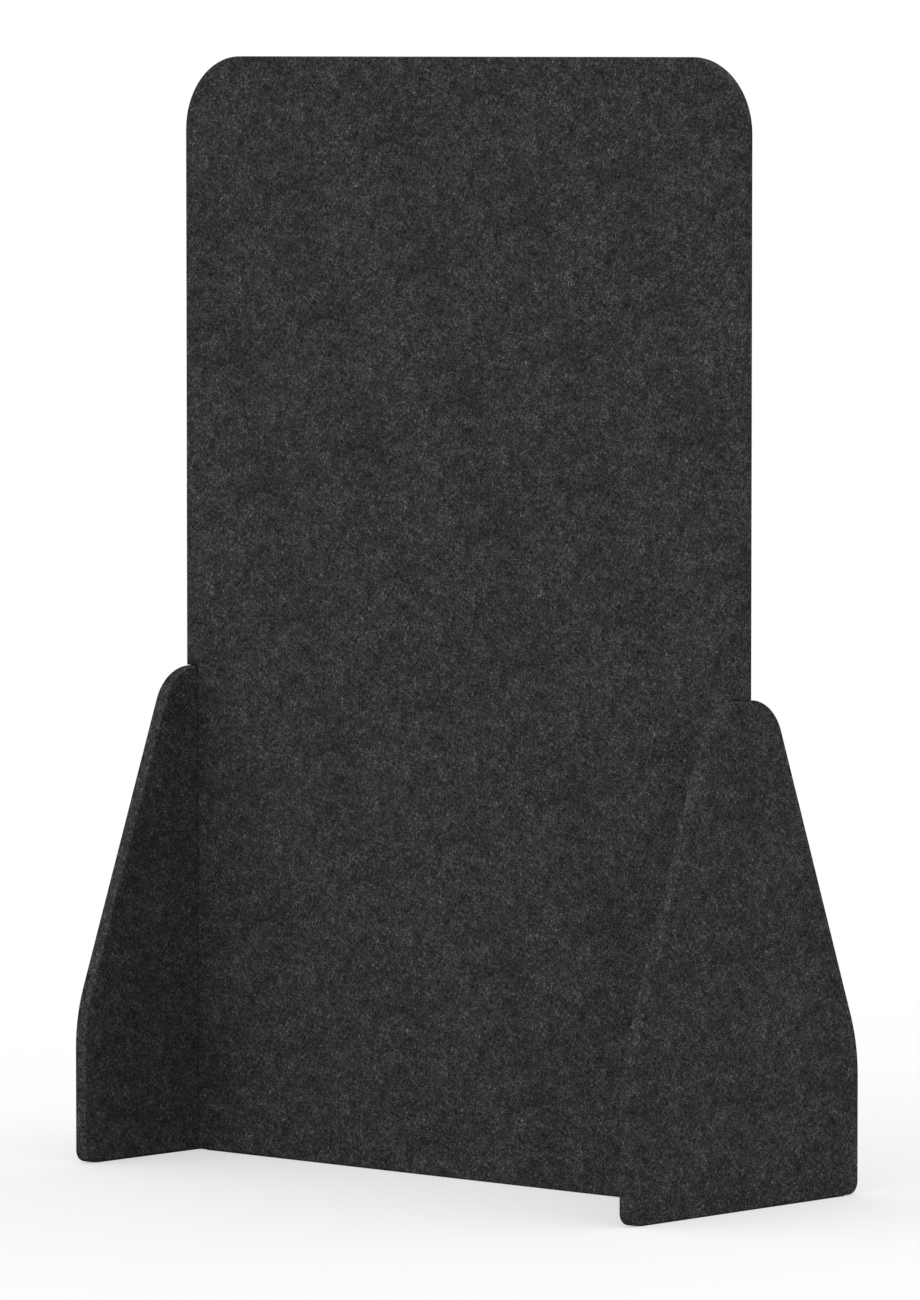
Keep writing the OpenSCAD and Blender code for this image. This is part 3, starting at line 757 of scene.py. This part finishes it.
def sew_seam(name, corners, turn, along_x, body):
    """Stitches over the seam of a panel with these corners."""
    mesh = bmesh.new()
    bmesh.ops.create_uvsphere(mesh, u_segments=6, v_segments=5, radius=1)
    bmesh.ops.scale(mesh, verts=mesh.verts[:], vec=(thread_r, thread_r, stitch_l / 2))
    for face in mesh.faces:
        face.smooth = True
    stitch = bpy.data.meshes.new("stitch")
    mesh.to_mesh(stitch)
    mesh.clear()
    rim = [vertex.co.copy() for vertex in outline_face(mesh, corners).verts]
    mesh.clear()
    ahead = stitch_pitch / 2
    for start, end in zip(rim, rim[1:] + rim[:1]):
        length = (end - start).length
        along = (end - start) / length
        outward = along.cross(Vector((0, -1, 0)))
        while ahead < length:
            point = start + along * ahead - outward * stitch_sink
            ahead += stitch_pitch
            if outward.z < -math.cos(sharp_angle):
                continue
            thread = Vector((0, 1, 0)) * math.cos(stitch_slant) + along * math.sin(stitch_slant)
            lie = Matrix((outward.cross(thread), outward, thread)).transposed().to_4x4()
            sewn = stitch.copy()
            sewn.transform(Matrix.Translation(point) @ lie)
            mesh.from_mesh(sewn)
            bpy.data.meshes.remove(sewn)
        ahead -= length
    bpy.data.meshes.remove(stitch)
    piece = finish_mesh(mesh, name, seam_thread, turn, along_x)
    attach(piece, body)


sew_seam("screen_seam_stitches", screen_corners(0), 0, 0, "screen")
for side, sign in (("left", -1), ("right", 1)):
    sew_seam(
        side + "_wing_seam_stitches", wing_corners(0), math.pi / 2, sign * wing_mid_x, side + "_wing",
    )

# Steel fittings
# Zinc-plated staples, wood screws, connector studs, keyhole plates and threaded inserts.
# The plating is bluish grey and a little cloudy, with fine marks from handling.

zinc_pale = (0.62, 0.63, 0.66, 1)
zinc_dull = (0.40, 0.41, 0.44, 1)
zinc_cloud_scale = 240.0
zinc_least_rough = 0.25
zinc_rough_spread = 0.25
scratch_scale = 3000.0
scratch_h = 0.00002

zinc, tree, shader = new_material("zinc_steel", Metallic=1.0)
place = add_node(tree, "ShaderNodeTexCoord").outputs["Object"]
clouds = add_node(
    tree, "ShaderNodeTexNoise", {"Vector": place, "Scale": zinc_cloud_scale, "Detail": 3.0},
).outputs["Fac"]
scratches = add_node(
    tree, "ShaderNodeTexNoise", {"Vector": place, "Scale": scratch_scale, "Detail": 2.0},
).outputs["Fac"]
tree.links.new(mix_colours(tree, clouds, zinc_pale, zinc_dull), shader.inputs["Base Color"])
dulled = add_math(tree, "MULTIPLY_ADD", clouds, zinc_rough_spread, zinc_least_rough)
tree.links.new(dulled, shader.inputs["Roughness"])
add_bump(tree, shader, scratches, scratch_h)
dress(zinc, "screen_staples", "screen_strip_screws", "screen_left_studs", "screen_right_studs")
for side in ("left", "right"):
    dress(
        zinc,
        side + "_wing_staples", side + "_keyhole_screws", side + "_runner_screws",
        side + "_upper_keyhole_plate", side + "_middle_keyhole_plate",
        side + "_lower_keyhole_plate", side + "_front_insert", side + "_rear_insert",
    )

# Levelling screws
# Zinc-plated M8 screws, one near each end of a wing, in the threaded inserts.
# Each has a neck near its lower end for the pad, and a hexagon socket in that end for a key.

thread_pitch = 0.00125
thread_depth_share = 0.61
thread_depth = thread_depth_share * thread_pitch
thread_steps = 24

# One ridge of the thread: how far out and how far up, as shares of its depth and its pitch
ridge_shares = [(0, 0), (0, 0.125), (1, 0.4375), (1, 0.5625), (0, 0.875), (0, 1)]

screw_r = 0.004
screw_chamfer = 0.0003
neck_r = 0.0032
neck_low = 0.0012
neck_high = 0.0022
socket_w = 0.004
socket_l = 0.006


def spin_profile(mesh, profile, closed=False):
    """Spins a profile of (radius, height) about Z. One that isn't closed leaves its two ends open."""
    points = [mesh.verts.new((reach, 0, height)) for reach, height in profile]
    edges = [mesh.edges.new(pair) for pair in zip(points, points[1:])]
    if closed:
        edges.append(mesh.edges.new((points[-1], points[0])))
    bmesh.ops.spin(
        mesh, geom=points + edges, cent=(0, 0, 0), axis=(0, 0, 1), angle=2 * math.pi,
        steps=2 * thread_steps, use_merge=True,
    )


def cut_thread(mesh, low, high):
    """A right-hand thread from low to high, open at both ends."""
    root = screw_r - thread_depth
    turns = math.ceil((high - low) / thread_pitch) + 2
    ridge = [
        mesh.verts.new((root + thread_depth * out, 0, low + thread_pitch * (up - 1)))
        for out, up in ridge_shares
    ]
    edges = [mesh.edges.new(pair) for pair in zip(ridge, ridge[1:])]
    bmesh.ops.spin(
        mesh, geom=ridge + edges, cent=(0, 0, 0), axis=(0, 0, 1),
        dvec=(0, 0, thread_pitch / thread_steps),
        angle=2 * math.pi * turns, steps=thread_steps * turns,
    )
    bmesh.ops.remove_doubles(mesh, verts=mesh.verts[:], dist=weld_reach)
    for height, facing in ((low, -1), (high, 1)):
        bmesh.ops.bisect_plane(
            mesh, geom=mesh.verts[:] + mesh.edges[:] + mesh.faces[:],
            plane_co=(0, 0, height), plane_no=(0, 0, facing), clear_outer=True,
        )


def close_level(mesh, height):
    """Fills between the open rims at one height."""
    rims = [
        edge for edge in mesh.edges
        if edge.is_boundary and all(abs(vertex.co.z - height) < weld_reach for vertex in edge.verts)
    ]
    bmesh.ops.triangle_fill(mesh, use_beauty=True, edges=rims)


def place_on_foot(shape, node):
    """A copy of a shape that was made upright on the origin, moved to where a CAD node stands."""
    low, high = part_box(node)
    mesh = shape.copy()
    bmesh.ops.translate(
        mesh, verts=mesh.verts[:], vec=((low.x + high.x) / 2, (low.y + high.y) / 2, low.z),
    )
    return mesh


low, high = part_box("left_front_levelling_screw")
screw_l = high.z - low.z
hexagon_r = socket_w / math.sqrt(3)
screw_shape = bmesh.new()
cut_thread(screw_shape, neck_high, screw_l)
spin_profile(screw_shape, [
    (screw_r - screw_chamfer, 0), (screw_r, screw_chamfer), (screw_r, neck_low),
    (neck_r, neck_low), (neck_r, neck_high),
])
bmesh.ops.create_cone(
    screw_shape, cap_ends=False, segments=6, radius1=hexagon_r, radius2=hexagon_r, depth=socket_l,
    matrix=Matrix.Translation((0, 0, socket_l / 2)),
)
for height in (0, neck_high, socket_l, screw_l):
    close_level(screw_shape, height)
bmesh.ops.recalc_face_normals(screw_shape, faces=screw_shape.faces[:])
for face in screw_shape.faces:
    face.smooth = True

for side in ("left", "right"):
    for end in ("front", "rear"):
        node = side + "_" + end + "_levelling_screw"
        mesh = place_on_foot(screw_shape, node)
        screw = finish_mesh(mesh, side + "_" + end + "_threaded_screw", zinc)
        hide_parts(node)
        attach(screw, side + "_" + end + "_screw")
screw_shape.free()

# Runners, closing strip and glide pads
# Black nylon, moulded with a fine matt grain. The runners and the strip are screwed over the stapled
# cloth underneath. The pads are cups with rounded rims that snap onto the levelling screws' necks.

nylon_black = (0.018, 0.018, 0.019, 1)
nylon_worn = (0.035, 0.035, 0.036, 1)
nylon_grain_scale = 1500.0
nylon_grain_h = 0.00015
rub_scale = 60.0
nylon_least_rough = 0.4
nylon_rough_spread = 0.2

nylon, tree, shader = new_material("black_nylon", Roughness=0.5, Specular_IOR_Level=0.4)
place = add_node(tree, "ShaderNodeTexCoord").outputs["Object"]
moulded = add_node(
    tree, "ShaderNodeTexNoise", {"Vector": place, "Scale": nylon_grain_scale, "Detail": 2.0},
).outputs["Fac"]
rubbed = add_node(
    tree, "ShaderNodeTexNoise", {"Vector": place, "Scale": rub_scale, "Detail": 4.0},
).outputs["Fac"]
tree.links.new(mix_colours(tree, rubbed, nylon_black, nylon_worn), shader.inputs["Base Color"])
worn = add_math(tree, "MULTIPLY_ADD", rubbed, nylon_rough_spread, nylon_least_rough)
tree.links.new(worn, shader.inputs["Roughness"])
add_bump(tree, shader, moulded, nylon_grain_h)
dress(nylon, "screen_closing_strip", "left_wing_runner", "right_wing_runner")

pad_r = 0.006
pad_sole_t = 0.0015
cup_r = 0.0043
key_hole_r = 0.0025
lip_r = 0.0034
lip_low = 0.0032
lip_high = 0.0038
pad_roll = 0.0007
pad_roll_steps = 4

low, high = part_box("left_front_glide_pad")
rim = high.z - low.z
pad_shape = bmesh.new()
spin_profile(pad_shape, [
    (key_hole_r, 0), (pad_r, 0), (pad_r, rim), (cup_r, rim), (cup_r, lip_high), (lip_r, lip_high),
    (lip_r, lip_low), (cup_r, lip_low), (cup_r, pad_sole_t), (key_hole_r, pad_sole_t),
], closed=True)
bmesh.ops.recalc_face_normals(pad_shape, faces=pad_shape.faces[:])
rims = [
    edge for edge in pad_shape.edges
    if all(min(abs(vertex.co.z), abs(vertex.co.z - rim)) < weld_reach for vertex in edge.verts)
    and edge.calc_face_angle() > sharp_angle
]
bmesh.ops.bevel(
    pad_shape, geom=rims, offset=pad_roll, offset_type="OFFSET", segments=pad_roll_steps,
    profile=0.5, affect="EDGES", material=-1,
)
for face in pad_shape.faces:
    face.smooth = True

for side in ("left", "right"):
    for end in ("front", "rear"):
        node = side + "_" + end + "_glide_pad"
        mesh = place_on_foot(pad_shape, node)
        pad = finish_mesh(mesh, side + "_" + end + "_rounded_pad", nylon)
        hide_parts(node)
        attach(pad, side + "_" + end + "_foot")
pad_shape.free()

# Studio
# A pale floor under a soft dome of light, brighter overhead and in front than near the floor and
# behind. The camera sees white behind the screen and a floor that glows faintly, and metal
# reflects the white.

white = (1, 1, 1, 1)
sky_light = 1.34
low_light = 1.1
front_light = 0.18
floor_seen = 0.8
floor_lit = 0.35
floor_glow = 0.5
floor_r = 400

world = bpy.data.worlds.new("studio")
world.use_nodes = True
bpy.context.scene.world = world
tree = world.node_tree
tree.nodes.clear()
direction = add_node(tree, "ShaderNodeTexCoord").outputs["Generated"]
sides = add_node(tree, "ShaderNodeSeparateXYZ", {"Vector": direction})
dome = add_node(
    tree, "ShaderNodeMapRange",
    {"Value": sides.outputs["Z"], "To Min": low_light, "To Max": sky_light},
    interpolation_type="SMOOTHSTEP",
)
facing = add_math(tree, "MULTIPLY_ADD", sides.outputs["Y"], -front_light, 1)
lit = add_math(tree, "MULTIPLY", dome.outputs["Result"], facing)
path = add_node(tree, "ShaderNodeLightPath")
seen = add_math(
    tree, "MAXIMUM",
    path.outputs["Is Camera Ray"],
    add_math(tree, "MAXIMUM", path.outputs["Is Glossy Ray"], path.outputs["Is Transmission Ray"]),
)
strength = add_node(
    tree, "ShaderNodeMix", {"Factor": seen, "A": lit, "B": 1.0}, data_type="FLOAT",
)
light = add_node(tree, "ShaderNodeBackground", {"Color": white, "Strength": strength.outputs[0]})
output = add_node(tree, "ShaderNodeOutputWorld")
tree.links.new(light.outputs["Background"], output.inputs["Surface"])

mesh = bmesh.new()
bmesh.ops.create_circle(mesh, cap_ends=True, segments=96, radius=floor_r)
data = bpy.data.meshes.new("floor")
mesh.to_mesh(data)
mesh.free()
floor = bpy.data.objects.new("floor", data)
bpy.context.scene.collection.objects.link(floor)
floor_paint = bpy.data.materials.new("floor_paint")
floor_paint.use_nodes = True
tree = floor_paint.node_tree
tree.nodes.clear()
path = add_node(tree, "ShaderNodeLightPath")
shade = mix_colours(
    tree, path.outputs["Is Camera Ray"],
    (floor_lit, floor_lit, floor_lit, 1), (floor_seen, floor_seen, floor_seen, 1),
)
paint = add_node(tree, "ShaderNodeBsdfDiffuse", {"Color": shade})
glow = add_node(tree, "ShaderNodeEmission", {"Color": white})
lit_floor = add_node(tree, "ShaderNodeMixShader", {
    0: add_math(tree, "MULTIPLY", path.outputs["Is Camera Ray"], floor_glow),
    1: paint.outputs["BSDF"],
    2: glow.outputs["Emission"],
})
output = add_node(tree, "ShaderNodeOutputMaterial")
tree.links.new(lit_floor.outputs["Shader"], output.inputs["Surface"])
data.materials.append(floor_paint)

bpy.context.scene.view_settings.view_transform = "Standard"
